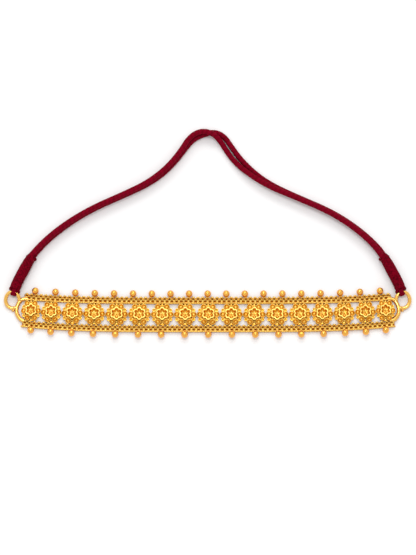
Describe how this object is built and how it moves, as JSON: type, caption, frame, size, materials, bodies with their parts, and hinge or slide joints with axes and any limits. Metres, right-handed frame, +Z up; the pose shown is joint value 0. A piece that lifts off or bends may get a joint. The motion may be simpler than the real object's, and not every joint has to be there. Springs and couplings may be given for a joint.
{
  "type": "choker necklace",
  "caption": "Flower-panel gold choker: rosettes between two woven beaded rails, bow ends with rings, and a doubled silk cord that closes the loop.",
  "frame": {"origin": "centre of the gold band's bounding box in X and Y, on the plane it lies on", "axes": "+X along the band, +Y from the band towards the cord's apex, +Z up, out of the face of the rosettes"},
  "size_m": [0.2438, 0.1295, 0.0071],
  "materials": {
    "gold": "polished 22 carat yellow gold, bright with warm recesses",
    "silk_cord": "maroon braided silk, soft sheen",
    "wrap_thread": "maroon wound silk thread, soft sheen"
  },
  "bodies": {
    "root": {"top_rail": "gold", "bottom_rail": "gold", "flower_01": "gold", "flower_02": "gold", "flower_03": "gold", "flower_04": "gold", "flower_05": "gold", "flower_06": "gold", "flower_07": "gold", "flower_08": "gold", "flower_09": "gold", "flower_10": "gold", "flower_11": "gold", "flower_12": "gold", "flower_13": "gold", "flower_14": "gold", "flower_15": "gold", "flower_16": "gold", "flower_17": "gold", "right_end_bow": "gold", "left_end_bow": "gold", "right_thread_wrap": "wrap_thread", "left_thread_wrap": "wrap_thread", "right_cord_bight": "silk_cord", "left_cord_bight": "silk_cord", "cord_strand_a": "silk_cord", "cord_strand_b": "silk_cord"}
  },
  "joints": []
}
